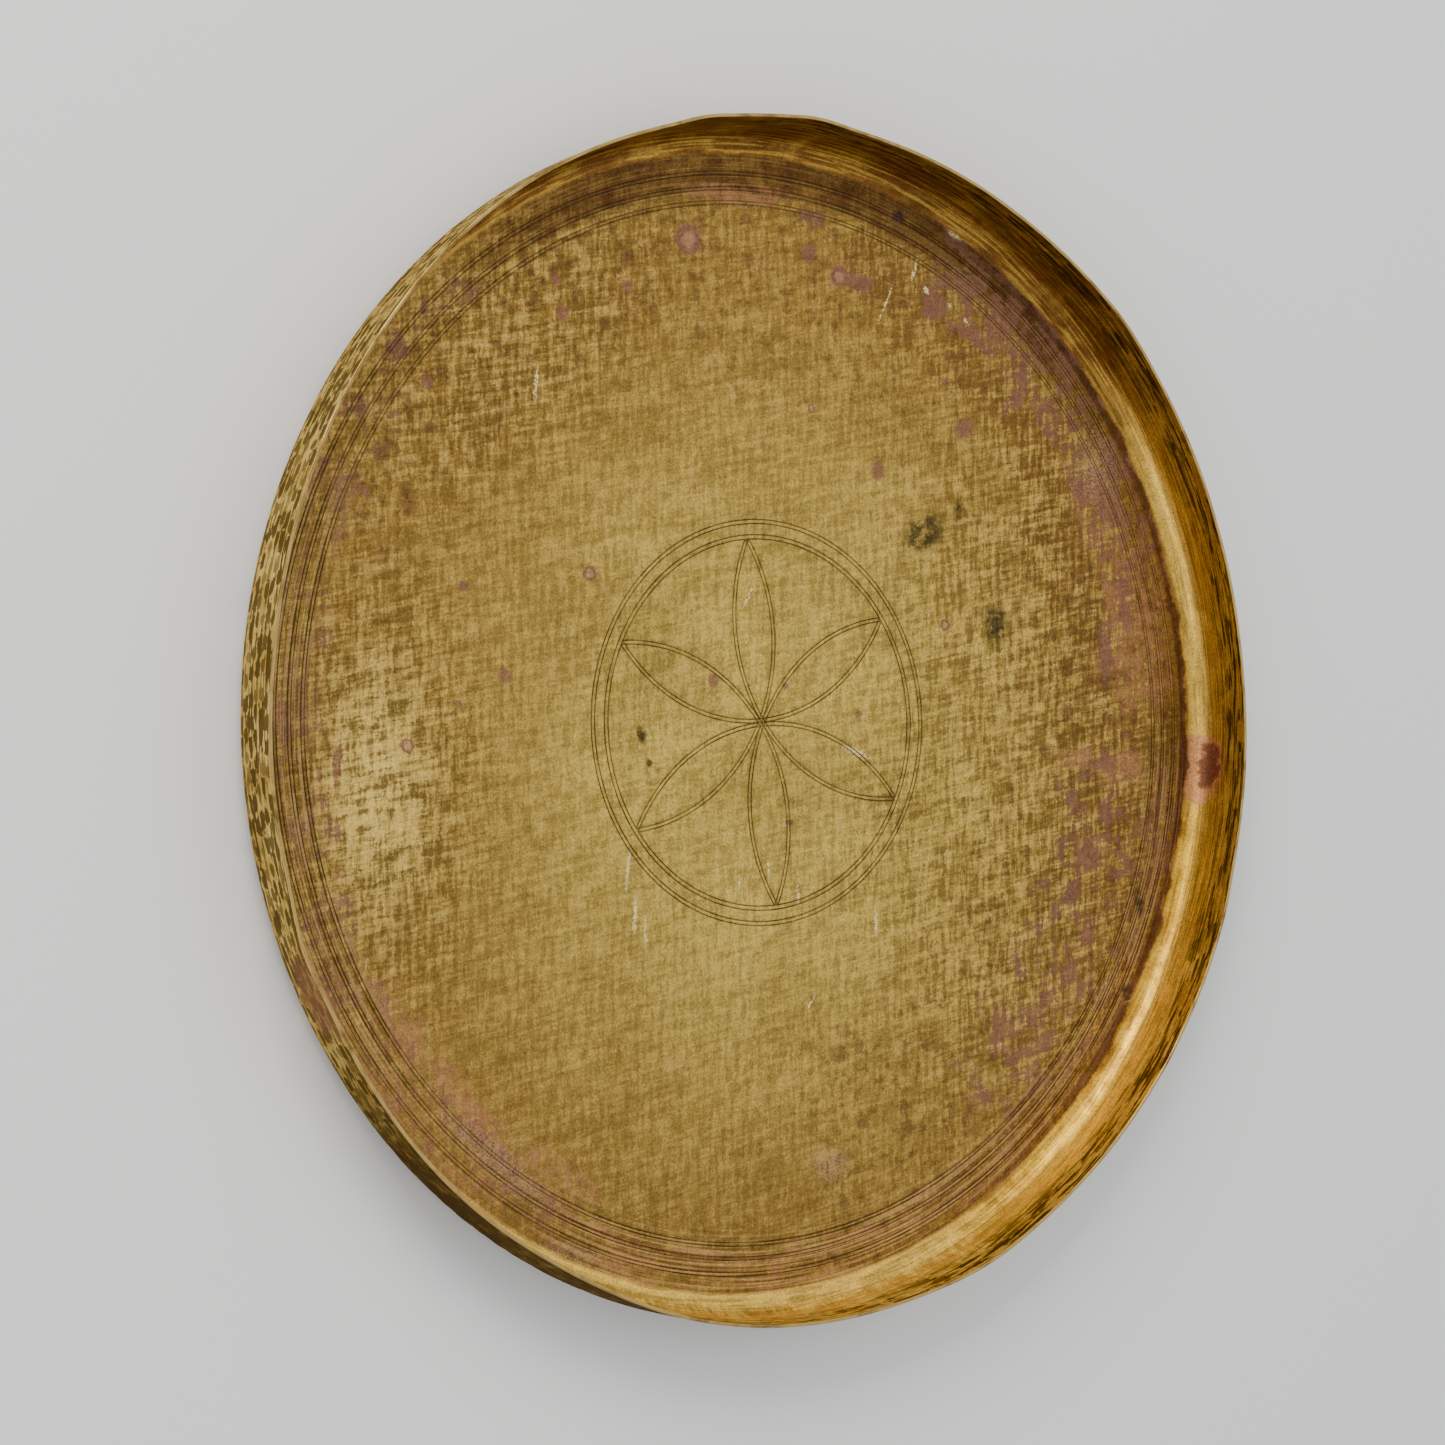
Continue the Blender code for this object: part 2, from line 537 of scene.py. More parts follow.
def lay_blows(tree, position, run, given):
    """Hammer blows laid in courses round the tray, in either kind of tree. Returns how
    deep in a blow a point is, from 0 to 1, and a random number for each blow."""
    apart = parts(tree, position)
    turn = calc(tree, "DIVIDE", calc(tree, "ARCTAN2", apart[1], apart[0]), 2 * math.pi)
    turn = calc(tree, "ADD", turn, 0.5)
    course = calc(tree, "DIVIDE", run, given["Course"])
    row = calc(tree, "FLOOR", course)
    reach = times(tree, calc(tree, "ADD", row, 0.5), given["Course"])
    reach = calc(tree, "MINIMUM", reach, given["Wall radius"])
    count = calc(tree, "DIVIDE", times(tree, reach, 2 * math.pi), given["Spacing"])
    count = calc(tree, "MAXIMUM", calc(tree, "ROUND", count), 3.0)
    seeded = calc(tree, "ADD", row, given["Seed"])
    shift = add(tree, "ShaderNodeTexWhiteNoise", {"W": seeded}, noise_dimensions="1D").outputs["Value"]
    along = calc(tree, "MULTIPLY_ADD", turn, count, shift)
    cell = calc(tree, "FLOORED_MODULO", calc(tree, "FLOOR", along), count)
    place = add(tree, "ShaderNodeCombineXYZ", {0: cell, 1: row, 2: given["Seed"]}).outputs[0]
    chance = add(tree, "ShaderNodeTexWhiteNoise", {"Vector": place}, noise_dimensions="3D").outputs["Color"]
    chances = parts(tree, chance)
    across = calc(tree, "SUBTRACT", calc(tree, "FRACT", along), ramp(tree, chances[0], 0, 1, 0.32, 0.68))
    up = calc(tree, "SUBTRACT", calc(tree, "FRACT", course), ramp(tree, chances[1], 0, 1, 0.40, 0.60))
    half_length = times(tree, given["Length"], ramp(tree, chances[2], 0, 1, 0.32, 0.58))
    half_height = times(tree, given["Height"], ramp(tree, chances[0], 0, 1, 0.42, 0.56))
    across = calc(tree, "DIVIDE", times(tree, across, given["Spacing"]), half_length)
    up = calc(tree, "DIVIDE", times(tree, up, given["Course"]), half_height)
    square = calc(tree, "MULTIPLY_ADD", across, across, times(tree, up, up))
    return calc(tree, "MAXIMUM", calc(tree, "SUBTRACT", 1.0, square), 0.0), chances[2]


BLOW_SIZES = [
    ("Wall radius", "NodeSocketFloat", 0.25),
    ("Course", "NodeSocketFloat", 0.0041),
    ("Spacing", "NodeSocketFloat", 0.0096),
    ("Length", "NodeSocketFloat", 0.0086),
    ("Height", "NodeSocketFloat", 0.0036),
    ("Seed", "NodeSocketFloat", 3.0),
]
# The flatter blows under the floor.
UNDER_BLOWS = {
    "Course": 0.0150, "Spacing": 0.0190, "Length": 0.0190, "Height": 0.0160, "Seed": 7.0,
}
blows, given, made = new_tree(
    "hammer_blows", "ShaderNodeTree",
    [("Vector", "NodeSocketVector", None), ("Run", "NodeSocketFloat", None), *BLOW_SIZES],
    [("Hollow", "NodeSocketFloat"), ("Chance", "NodeSocketFloat")],
)
hollow, chance = lay_blows(blows, given["Vector"], given["Run"], given)
feed(blows, made["Hollow"], hollow)
feed(blows, made["Chance"], chance)

# Scouring strokes: a grain stretched in one direction, by its length and width in mm.
strokes, given, made = new_tree(
    "scour_strokes", "ShaderNodeTree",
    [
        ("Vector", "NodeSocketVector", None),
        ("Turn", "NodeSocketVector", (0, 0, 0)),
        ("Size", "NodeSocketVector", (13, 1.5, 1)),
    ],
    [("Strokes", "NodeSocketFloat")],
)
laid = add(
    strokes, "ShaderNodeMapping",
    {"Vector": given["Vector"], "Rotation": given["Turn"], "Scale": given["Size"]},
    vector_type="TEXTURE",
)
grain = add(
    strokes, "ShaderNodeTexNoise",
    {"Vector": laid.outputs[0], "Scale": 1.0, "Detail": 3.0, "Roughness": 0.6},
    noise_dimensions="2D",
)
feed(strokes, made["Strokes"], ramp(strokes, grain.outputs[0], 0.28, 0.72))

# One stain: 1 inside an oval, easing to 0 at its edge. Sizes are half widths in mm.
stain, given, made = new_tree(
    "stain", "ShaderNodeTree",
    [
        ("Vector", "NodeSocketVector", None),
        ("Place", "NodeSocketVector", (0, 0, 0)),
        ("Size", "NodeSocketVector", (10, 10, 1)),
        ("Turn", "NodeSocketVector", (0, 0, 0)),
        ("Softness", "NodeSocketFloat", 0.2),
    ],
    [("Mask", "NodeSocketFloat"), ("Reach", "NodeSocketFloat")],
)
laid = add(
    stain, "ShaderNodeMapping",
    {
        "Vector": given["Vector"], "Location": given["Place"],
        "Rotation": given["Turn"], "Scale": given["Size"],
    },
    vector_type="TEXTURE",
)
reach = vector_calc(stain, "LENGTH", laid.outputs[0])
edge = calc(stain, "ADD", 1.0, given["Softness"])
feed(stain, made["Mask"], ramp(stain, reach, edge, calc(stain, "SUBTRACT", 1.0, given["Softness"])))
feed(stain, made["Reach"], reach)

# Fine lines that a pad leaves when the tray is scoured round its edge.
rounds, given, made = new_tree(
    "round_scouring", "ShaderNodeTree",
    [
        ("Direction", "NodeSocketVector", None),
        ("Radius", "NodeSocketFloat", None),
        ("Length", "NodeSocketFloat", 40.0),
        ("Width", "NodeSocketFloat", 1.0),
    ],
    [("Lines", "NodeSocketFloat")],
)
bent = scaled(rounds, given["Direction"], calc(rounds, "DIVIDE", EDGE_RADIUS_MM, given["Length"]))
rise = add(
    rounds, "ShaderNodeCombineXYZ", {2: calc(rounds, "DIVIDE", given["Radius"], given["Width"])}
)
grain = add(
    rounds, "ShaderNodeTexNoise",
    {"Vector": vector_calc(rounds, "ADD", bent, rise.outputs[0]), "Scale": 1.0, "Detail": 2.0},
)
feed(rounds, made["Lines"], ramp(rounds, grain.outputs[0], 0.3, 0.7))


def group(tree, effect, feeds):
    """An effect placed in a tree, with its inputs fed. Returns its outputs."""
    return add(tree, "ShaderNodeGroup", feeds, node_tree=effect).outputs


def tint(red, green, blue):
    """A colour given on the 0 to 255 scale, as a shader takes it."""
    whole = [value / 255 for value in (red, green, blue)]
    return [((v + 0.055) / 1.055) ** 2.4 if v > 0.04 else v / 12.92 for v in whole] + [1.0]


def over(tree, mask, below, above, share=1.0):
    """One colour laid over another through a mask, by this share at most."""
    if share != 1.0:
        mask = times(tree, mask, share)
    node = add(tree, "ShaderNodeMix", {0: mask, 6: below, 7: above}, data_type="RGBA")
    return node.outputs[2]


def turned(degrees):
    """A turn about Z, as a socket takes it."""
    return (0.0, 0.0, math.radians(degrees))


def new_material(name):
    """A material with its tree, its shader, and places in mm: the whole place, the
    place on the level, its direction and its distance from the axis."""
    material = bpy.data.materials.new(name)
    material.use_nodes = True
    tree = material.node_tree
    shader = tree.nodes["Principled BSDF"]
    here = add(tree, "ShaderNodeTexCoord").outputs["Object"]
    place = scaled(tree, here, 1000.0)
    level = vector_calc(tree, "MULTIPLY", place, (1.0, 1.0, 0.0))
    direction = vector_calc(tree, "NORMALIZE", level)
    return material, tree, shader, here, place, level, direction, vector_calc(tree, "LENGTH", level)


def clouds(tree, place, size, detail=3.0, output=0):
    """Plain noise with lumps of this size in mm."""
    feeds = {"Vector": place, "Scale": 1.0 / size, "Detail": detail, "Roughness": 0.6}
    return add(tree, "ShaderNodeTexNoise", feeds).outputs[output]


def drift(tree, place, size, detail, reach):
    """A small level push that varies in lumps of this size, over this reach in mm."""
    lumps = clouds(tree, place, size, detail, 1)
    return vector_calc(tree, "MULTIPLY_ADD", lumps, (reach, reach, 0.0), (-reach / 2, -reach / 2, 0.0))


def laid_up(tree, name):
    """The strength of one of the masks stored on the sheet, for patina and for painted light and shade."""
    return add(tree, "ShaderNodeAttribute", attribute_name=name).outputs["Fac"]


def finish(tree, shader, colour, metal, rough, height, depth):
    """Feeds the shader with what was worked out for this face."""
    feed(tree, shader.inputs["Base Color"], colour)
    feed(tree, shader.inputs["Metallic"], metal)
    feed(tree, shader.inputs["Roughness"], rough)
    bump = add(tree, "ShaderNodeBump", {"Height": height, "Distance": depth, "Strength": 1.0})
    feed(tree, shader.inputs["Normal"], bump.outputs[0])
    shader.inputs["Specular IOR Level"].default_value = SPECULAR


# ---------------------------------------------------------------------------
# The inside, the upper face of the same brass. It was scoured up and down and from
# side to side with a pad, so the old olive patina is rubbed thin in a weave, with
# copper-red and purple-brown blooms left round the edge.

GOLD = tint(200, 171, 84)
OLIVE = tint(178, 151, 73)
BROWNED_SHADE = tint(148, 114, 54)
# BROWNED_SHADE: the brown of the rim's patina, darkened as painted shade
PALE_GOLD = tint(226, 193, 104)
DARK_STROKE = tint(94, 71, 34)
PURPLE = tint(132, 90, 72)
COPPER = tint(184, 126, 90)
MAUVE = tint(172, 134, 112)
BROWN = tint(102, 68, 36)
SPOT_BROWN = tint(94, 60, 44)
# RIM_BROWN_SHADE: dark brown at the foot of the top wall, patina and painted shade
RIM_BROWN_SHADE = tint(84, 52, 28)
LINE_BROWN = tint(50, 32, 12)
SOOT = tint(44, 40, 28)
CHALK = tint(240, 222, 160)
INSIDE_SHEEN = tint(250, 230, 190)
INSIDE_GRAIN = 0.00005  # depth of the scouring

material, tree, shader, here, place, level, direction, radius = new_material("brass_inside")
inside_brass = material
height_mm = parts(tree, place)[2]
broad = clouds(tree, place, 60, 3.0)
lumps = clouds(tree, place, 15, 5.0)
small = clouds(tree, place, 4.5, 4.0)
speckle = clouds(tree, place, 0.9, 2.0)
torn = drift(tree, place, 7, 4.0, 5.5)
ragged = vector_calc(tree, "ADD", level, torn)
frayed = vector_calc(tree, "ADD", level, drift(tree, place, 2.2, 3.0, 3.0))

WEAVE_SUM = 2.8  # brings the four layers of strokes back to between 0 and 1
upright = group(tree, strokes, {"Vector": frayed, "Turn": turned(88), "Size": (16, 2.4, 1)})[0]
sideways = group(tree, strokes, {"Vector": frayed, "Turn": turned(10), "Size": (16, 2.2, 1)})[0]
long = group(tree, strokes, {"Vector": frayed, "Turn": turned(11), "Size": (60, 5.0, 1)})[0]
fine_upright = group(tree, strokes, {"Vector": level, "Turn": turned(88), "Size": (6, 0.7, 1)})[0]
fine_sideways = group(tree, strokes, {"Vector": level, "Turn": turned(7), "Size": (7, 0.7, 1)})[0]
weave = calc(tree, "MULTIPLY_ADD", upright, 1.1, times(tree, sideways, 0.9))
fine_weave = calc(tree, "ADD", fine_upright, fine_sideways)
weave = calc(tree, "MULTIPLY_ADD", fine_weave, 0.40, weave)
weave = calc(tree, "DIVIDE", weave, WEAVE_SUM)
cloudy = swayed(tree, weave, lumps, 0.7)
cloudy = swayed(tree, cloudy, long, 0.18)

# Scouring lines that run round near the edge, where the patches follow them. The
# scribed lines keep their tarnish best there, and in the middle.
lines = group(tree, rounds, {"Direction": direction, "Radius": radius, "Length": 60.0, "Width": 1.0})[0]
line_share = times(tree, ramp(tree, radius, 206.0, 226.0), ramp(tree, radius, 246.0, 238.0))
scoured = laid_up(tree, "scoured")
line_share = times(tree, line_share, scoured)
tarnish_kept = calc(tree, "SUBTRACT", 1.0, ramp(tree, radius, 120.0, 150.0))
tarnish_kept = calc(tree, "MAXIMUM", tarnish_kept, scoured)


def stains(tree, vector, spots, softness):
    """The strongest of a list of stains: place, half width, half height, turn."""
    strongest = 0.0
    for x, y, wide, high, turn in spots:
        feeds = {
            "Vector": vector, "Place": (x, y, 0.0), "Size": (wide, high, 1.0),
            "Turn": turned(turn), "Softness": softness,
        }
        strongest = calc(tree, "MAXIMUM", strongest, group(tree, stain, feeds)["Mask"])
    return strongest


def patchy(tree, region, lumpiness, sharpness):
    """Breaks a soft region into torn patches, along the weave."""
    broken = swayed(tree, region, lumps, lumpiness)
    broken = swayed(tree, broken, weave, -0.7)
    broken = swayed(tree, broken, small, 0.9)
    broken = swayed(tree, broken, lines, line_share)
    half = 0.5 / sharpness
    present = ramp(tree, region, 0.0, 0.25)
    return times(tree, ramp(tree, broken, 0.55 - half, 0.55 + half), present)


colour = over(tree, ramp(tree, broad, 0.38, 0.62), GOLD, OLIVE)
# Browner and darker towards the rim: partly patina, partly painted shade.
browned_and_shaded = times(tree, laid_up(tree, "browned_and_shaded"), ramp(tree, lumps, 0.2, 0.6, 0.7, 1.0))
colour = over(tree, browned_and_shaded, colour, BROWNED_SHADE)
# painted sheen: a pale patch at the left edge of the floor, a reflection of the window
colour = over(tree, laid_up(tree, "painted_sheen"), colour, PALE_GOLD, 0.9)
# the weave shows strongest in patches, and at the left edge as part of the painted sheen
woven_and_sheen = calc(tree, "MULTIPLY_ADD", laid_up(tree, "woven_and_sheen"), 0.55, 0.45)
dark = times(tree, ramp(tree, cloudy, 0.62, 0.20), woven_and_sheen)
bright = times(tree, ramp(tree, cloudy, 0.46, 0.90), woven_and_sheen)
colour = over(tree, dark, colour, DARK_STROKE, 0.85)
colour = over(tree, bright, colour, PALE_GOLD, 0.65)

# Round brown spots towards the edge, torn brown patches that at the upper right also paint
# in shade, then the copper-red and purple-brown blooms and their paler crust.
spots = add(
    tree, "ShaderNodeTexVoronoi", {"Vector": frayed, "Scale": 1 / 12.0}, voronoi_dimensions="2D"
).outputs
chance = parts(tree, spots["Color"])
spot_size = ramp(tree, chance[0], 0.55, 1.0, 0.0, 0.34)
spot_size = swayed(tree, spot_size, small, 0.8)
spotted = ramp(tree, calc(tree, "SUBTRACT", spots["Distance"], spot_size), 0.02, -0.14)
flecked = times(tree, ramp(tree, small, 0.46, 0.37), 0.75)
spotted = times(tree, calc(tree, "MAXIMUM", spotted, flecked), laid_up(tree, "spotted"))
# Torn brown patches; at the upper right they are also painted shade.
brown_and_shade = patchy(tree, times(tree, laid_up(tree, "brown_and_shade"), 0.60), 1.2, 3.0)
colour = over(tree, brown_and_shade, colour, BROWN, 0.56)
colour = over(tree, spotted, colour, SPOT_BROWN, 0.72)
# Dark brown at the foot of the top wall: patina and painted shade.
rim_brown_and_shade = times(tree, laid_up(tree, "rim_brown_and_shade"), ramp(tree, lumps, 0.3, 0.62, 0.95, 0.65))
colour = over(tree, rim_brown_and_shade, colour, RIM_BROWN_SHADE)
copper = patchy(tree, times(tree, laid_up(tree, "copper"), 0.62), 0.9, 1.8)
colour = over(tree, copper, colour, COPPER, 0.65)
purple = patchy(tree, times(tree, laid_up(tree, "purple"), 0.76), 1.7, 4.0)
colour = over(tree, purple, colour, PURPLE, 0.78)
mauve = times(tree, laid_up(tree, "mauve"), ramp(tree, speckle, 0.40, 0.58))
colour = over(tree, mauve, colour, MAUVE, 0.6)

dark_line = times(tree, line_share, 0.55)
dark_line = times(tree, ramp(tree, lines, 0.38, 0.16), dark_line)
colour = over(tree, dark_line, colour, BROWN)
pale_line = times(tree, line_share, 0.30)
pale_line = times(tree, ramp(tree, lines, 0.60, 0.82), pale_line)
colour = over(tree, pale_line, colour, PALE_GOLD)

# Water spots: a dark ring, with a paler middle in the larger ones.
RINGED_SPOTS = [
    (-30, 202, 6.5), (-172, -5, 3.0), (100, 40, 2.6), (-84, 63, 3.2), (31, 133, 2.0), (48, 190, 4.5),
    (112, 211, 6.0),
]
PLAIN_SPOTS = [
    (-144, 58, 2.2), (-126, 22, 3.0), (-148, 11, 1.6), (66, 107, 4.0), (114, 126, 4.5),
    (104, 146, 1.6), (145, 140, 4.2), (-61, 181, 2.6), (-96, 182, 2.4), (-93, 169, 3.0),
    (-158, 139, 2.6), (32, 199, 4.0), (81, 217, 3.0), (13, 15, 1.6), (51, 2, 1.8), (13, -43, 1.6),
    (-24, 18, 2.8),
]
ringed, centres = 0.0, 0.0
for x, y, size in RINGED_SPOTS:
    feeds = {"Vector": frayed, "Place": (x, y, 0.0), "Size": (size, size, 1.0), "Softness": 0.12}
    spot = group(tree, stain, feeds)
    ring = times(tree, spot["Mask"], ramp(tree, spot["Reach"], 0.35, 0.75))
    ringed = calc(tree, "MAXIMUM", ringed, ring)
    centres = calc(tree, "MAXIMUM", centres, ramp(tree, spot["Reach"], 0.7, 0.3))
dots = stains(tree, frayed, [(x, y, size, size, 0) for x, y, size in PLAIN_SPOTS], 0.4)
dots = calc(tree, "MAXIMUM", ringed, times(tree, dots, 0.9))
colour = over(tree, centres, colour, MAUVE, 0.55)
colour = over(tree, dots, colour, PURPLE, 0.9)

# Sooty smudges.
SOOTY_SPOTS = [
    (90, 80, 12, 7, 20), (86, 82, 5, 3, -30), (110, 90, 3, 4, 0), (207, -87, 3, 5, 0),
    (198, -127, 3, 4, 0), (-61, -4, 1.6, 4, 12), (-57, -15, 3, 1.5, -40), (81, 217, 3, 3, 0),
    (128, 40, 7, 9, 0),
]
sooty = stains(tree, ragged, SOOTY_SPOTS, 0.5)
sooty = times(tree, sooty, ramp(tree, small, 0.30, 0.52))
colour = over(tree, sooty, colour, SOOT, 0.85)

# Pale scratches and flecks: middle, half length, half width, turn.
SCRATCHES = [
    (-70, -60, 9, 0.7, 80), (-67, -78, 7, 0.9, 84), (-62, -84, 6, 0.6, 92), (-107, 140, 6, 0.8, 82),
    (-5, 53, 4, 0.7, 60), (-14, -67, 3, 0.6, 90), (1, -62, 3.5, 0.6, 86), (16, -73, 4, 0.7, 95),
    (57, -87, 5, 0.8, 88), (49, -14, 7, 1.4, -20), (89, 194, 4.5, 0.8, 70), (95, 186, 1.6, 1.3, -40),
    (108, 180, 1.2, 0.8, 0), (117, 173, 1.8, 0.8, -55), (73, 180, 9, 0.4, 62), (21, -120, 4, 0.5, 60),
    (112, 211, 4, 1.6, -30), (198, -131, 3, 0.6, 20),
]
scratched = stains(tree, frayed, SCRATCHES, 0.5)
scratched = times(tree, scratched, ramp(tree, speckle, 0.38, 0.52))
colour = over(tree, scratched, colour, CHALK, 0.8)

# Tarnish in the scribed lines.
cut = ramp(tree, laid_up(tree, "scribed"), 0.0, 0.45)
worn_cut = times(tree, cut, ramp(tree, lumps, 0.35, 0.6, 1.0, 0.75))
worn_cut = times(tree, worn_cut, calc(tree, "MULTIPLY_ADD", tarnish_kept, 0.35, 0.65))
colour = over(tree, worn_cut, colour, LINE_BROWN, 0.92)

# The wall's inner face: yellow low down on one stretch, a painted highlight that stands
# for a reflection of the window, with the dark dashes of the hammer courses under the lip
# and brown grime with painted shade at the top.
WALL_GOLD = tint(236, 194, 88)
WALL_OLIVE = tint(216, 176, 76)
WALL_DARK = tint(58, 38, 12)
# WALL_GRIME_SHADE: brown grime and painted shade on the top of the inner wall
WALL_GRIME_SHADE = tint(130, 84, 38)
# WALL_YELLOW, BEND_YELLOW and BEND_AMBER colour the painted highlight band
WALL_YELLOW = tint(252, 212, 86)
BEND_YELLOW = tint(252, 198, 62)
BEND_AMBER = tint(186, 126, 36)
FLUSH_PINK = tint(214, 142, 106)
FLUSH_DARK = tint(112, 66, 50)
WALL_RADIUS_MM = 245.0  # where lengths along the wall are measured
on_wall = ramp(tree, radius, 238.0, 240.5)
high = ramp(tree, height_mm, 10.0, 24.0)
run_round = group(
    tree, rounds, {"Direction": direction, "Radius": height_mm, "Length": 15.0, "Width": 2.0}
)[0]
thin_round = group(
    tree, rounds, {"Direction": direction, "Radius": height_mm, "Length": 30.0, "Width": 0.7}
)[0]
wall_tone = times(tree, high, ramp(tree, lumps, 0.25, 0.6, 0.3, 1.0))
wall = over(tree, wall_tone, WALL_GOLD, WALL_OLIVE)
# Painted highlight: a yellow band low on the wall, amber and yellow in the bend, with a ragged top edge.
uneven = swayed(tree, calc(tree, "SUBTRACT", lumps, 0.5), small, 0.5)
highlight_height = calc(tree, "MULTIPLY_ADD", uneven, 42.0, height_mm)
painted_highlight = times(tree, laid_up(tree, "painted_highlight"), ramp(tree, highlight_height, 22.0, 17.0))
bend_tone = over(tree, ramp(tree, lumps, 0.36, 0.60), BEND_AMBER, BEND_YELLOW)
yellow = over(tree, ramp(tree, height_mm, 4.0, 11.0), bend_tone, WALL_YELLOW)
wall = over(tree, painted_highlight, wall, yellow, 0.85)
# Brown grime with painted shade at the top of the wall's inner face.
grime_and_shade = times(tree, laid_up(tree, "grime_and_shade"), ramp(tree, lumps, 0.2, 0.6, 0.5, 1.0))
wall = over(tree, grime_and_shade, wall, WALL_GRIME_SHADE)
dashed = swayed(tree, run_round, small, 0.7)
dashed = ramp(tree, swayed(tree, dashed, lumps, 0.6), 0.55, 0.38)
dashed = times(tree, dashed, calc(tree, "MULTIPLY_ADD", high, 0.82, 0.10))
wall = over(tree, dashed, wall, WALL_DARK)
wall = over(tree, ramp(tree, thin_round, 0.6, 0.85), wall, WALL_YELLOW, 0.30)
wall = over(tree, ramp(tree, thin_round, 0.42, 0.2), wall, WALL_DARK, 0.35)

# A pink flush with a dark heart, laid on the wall as if it were unrolled.
apart = parts(tree, direction)
round_place = times(tree, calc(tree, "ARCTAN2", apart[1], apart[0]), WALL_RADIUS_MM)
unrolled = add(tree, "ShaderNodeCombineXYZ", {0: round_place, 1: height_mm}).outputs[0]
unrolled = vector_calc(tree, "MULTIPLY_ADD", torn, (3.0, 3.0, 0.0), unrolled)
flush = group(tree, stain, {
    "Vector": unrolled, "Place": (-27.4, 5.0, 0.0), "Size": (15.5, 10.5, 1.0), "Softness": 0.06,
})["Mask"]
wall = over(tree, flush, wall, FLUSH_PINK, 0.75)
heart = group(tree, stain, {
    "Vector": unrolled, "Place": (-26.5, 9.0, 0.0), "Size": (10.0, 5.0, 1.0), "Softness": 0.25,
})["Mask"]
wall = over(tree, heart, wall, FLUSH_DARK, 0.85)
colour = over(tree, on_wall, colour, wall)

# Crusted tarnish along the foot of the wall.
foot_edge = swayed(tree, radius, lumps, 14.0)
foot = times(tree, laid_up(tree, "foot"), ramp(tree, foot_edge, 239.5, 238.0))
foot = times(tree, foot, ramp(tree, radius, 234.0, 236.0))
colour = over(tree, foot, colour, SPOT_BROWN, 0.75)

fade = calc(tree, "MULTIPLY_ADD", speckle, 1.50, calc(tree, "MULTIPLY_ADD", small, 0.60, -0.05))
shaded = scaled(tree, colour, fade)
film = calc(tree, "MAXIMUM", calc(tree, "MAXIMUM", purple, copper), worn_cut)
metal = calc(tree, "MULTIPLY_ADD", film, -0.30, 0.92)
up_wall = times(tree, on_wall, ramp(tree, height_mm, 5.0, 14.0))
metal = calc(tree, "MULTIPLY_ADD", up_wall, -0.12, metal)
rough = calc(tree, "MULTIPLY_ADD", dark, 0.10, 0.42)
rough = calc(tree, "MULTIPLY_ADD", film, 0.12, rough)
relief = calc(tree, "MULTIPLY_ADD", weave, 0.5, times(tree, speckle, 0.35))
relief = calc(tree, "MULTIPLY_ADD", lines, times(tree, line_share, 0.3), relief)
finish(tree, shader, shaded, metal, rough, relief, INSIDE_GRAIN)
shader.inputs["Specular Tint"].default_value = INSIDE_SHEEN


# ---------------------------------------------------------------------------
# The lip. The sheet's own cut edge, of the same brass, filed level across and worn
# bright by hands.

LIP_BRIGHT = tint(196, 164, 96)
LIP_DULL = tint(124, 92, 42)
FILE_GRAIN = 0.00003  # depth of the file's marks

material, tree, shader, here, place, level, direction, radius = new_material("brass_lip")
lip_brass = material
speckle = clouds(tree, place, 1.2, 3.0)
dull = clouds(tree, place, 14, 3.0)
filed = group(tree, rounds, {"Direction": direction, "Radius": radius, "Length": 12.0, "Width": 0.25})[0]
colour = over(tree, ramp(tree, dull, 0.45, 0.75), LIP_BRIGHT, LIP_DULL)
colour = over(tree, times(tree, ramp(tree, filed, 0.4, 0.1), 0.4), colour, DARK_STROKE)
rough = calc(tree, "MULTIPLY_ADD", speckle, 0.2, 0.26)
finish(tree, shader, colour, calc(tree, "MULTIPLY_ADD", dull, -0.1, 1.0), rough, filed, FILE_GRAIN)


# ---------------------------------------------------------------------------
# The outside. The blows kept their dark skin in their hollows, while handling
# rubbed the wall pale between them; the underside is dull and scuffed.

PALE_BRASS = tint(222, 192, 116)
WALL_BRASS = tint(184, 152, 80)
BLOW_DARK = tint(60, 44, 18)
# OUTER_BROWN_SHADE: dark patina and painted shade on one stretch of the outer wall
OUTER_BROWN_SHADE = tint(76, 48, 14)
UNDER_BRASS = tint(150, 118, 62)
UNDER_DARK = tint(92, 68, 36)
OUTSIDE_SHEEN = tint(225, 205, 160)
OUTSIDE_GRAIN = 0.00006  # depth of the skin's grain

material, tree, shader, here, place, level, direction, radius = new_material("brass_outside")
outside_brass = material
height_mm = parts(tree, place)[2]
run = laid_up(tree, "run")
broad = clouds(tree, place, 60, 2.0)
lumps = clouds(tree, place, 12, 4.0)
small = clouds(tree, place, 2.6, 3.0)
speckle = clouds(tree, place, 0.8, 2.0)
wall_blow = group(tree, blows, {"Vector": here, "Run": run, "Wall radius": lip_radius})
under_blow = group(tree, blows, {"Vector": here, "Run": run, "Wall radius": lip_radius, **UNDER_BLOWS})
on_wall = ramp(tree, height_mm, 0.6, 3.5)
streaks = group(
    tree, rounds, {"Direction": direction, "Radius": height_mm, "Length": 16.0, "Width": 1.3}
)[0]
near_lip = ramp(tree, height_mm, 26.5, 29.5)
dark_blow = swayed(tree, wall_blow["Hollow"], small, 1.4)
dark_blow = swayed(tree, dark_blow, streaks, -0.8)
dark_blow = ramp(tree, dark_blow, -0.05, 0.16)
dark_blow = times(tree, dark_blow, ramp(tree, wall_blow["Chance"], 0.0, 0.6, 0.7, 1.0))
dark_streak = times(tree, ramp(tree, streaks, 0.50, 0.28), near_lip)
dark_blow = calc(tree, "MAXIMUM", dark_blow, dark_streak)
